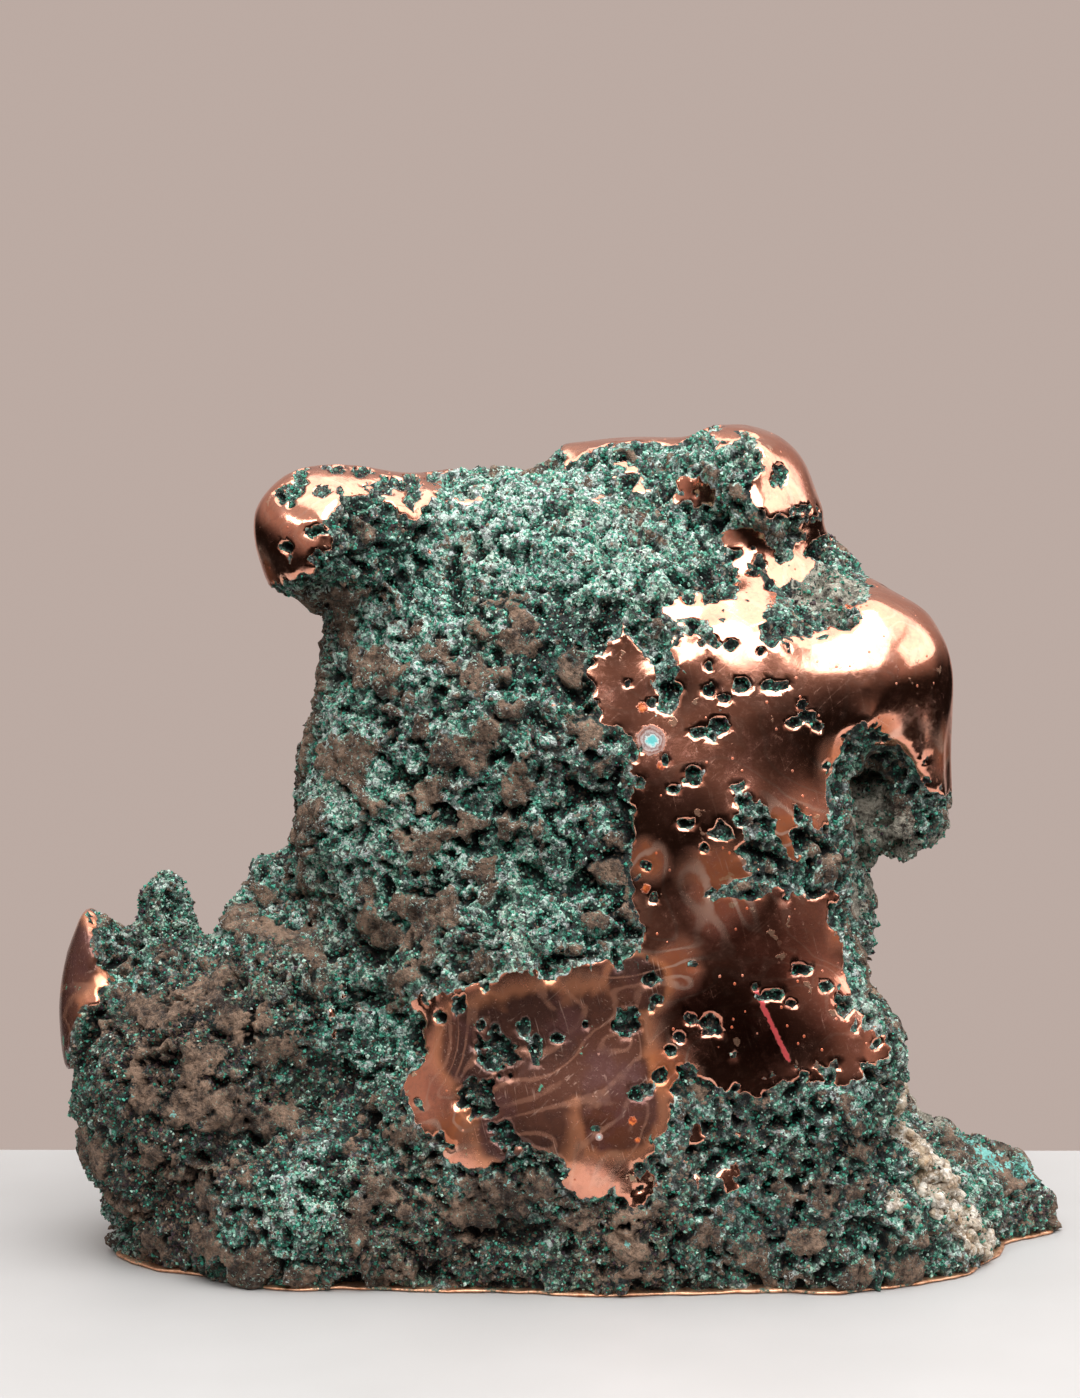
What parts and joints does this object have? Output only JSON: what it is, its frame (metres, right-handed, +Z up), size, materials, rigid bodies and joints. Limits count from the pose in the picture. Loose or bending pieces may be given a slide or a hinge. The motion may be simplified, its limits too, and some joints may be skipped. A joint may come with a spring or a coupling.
{
  "type": "native copper nugget",
  "caption": "Display specimen of native copper: one knobbly mass, part ground to a mirror, part under green mineral crust, sawn flat beneath to stand.",
  "frame": {"origin": "middle of the nugget's box, on its sawn underside", "axes": "+Z up from the sawn face, +X towards the hooded lobe and the foot, +Y away from the polished front"},
  "size_m": [0.2218, 0.1054, 0.1825],
  "materials": {
    "copper": "mirror-polished native copper with fine scratches, haze and small pits",
    "crust": "rough granular crust of green malachite, brown cuprite and dark tenorite, glinting on fresh grains",
    "quartz": "cream quartz seam, sugary and slightly shiny"
  },
  "bodies": {
    "root": {"nugget": "copper"}
  },
  "joints": []
}
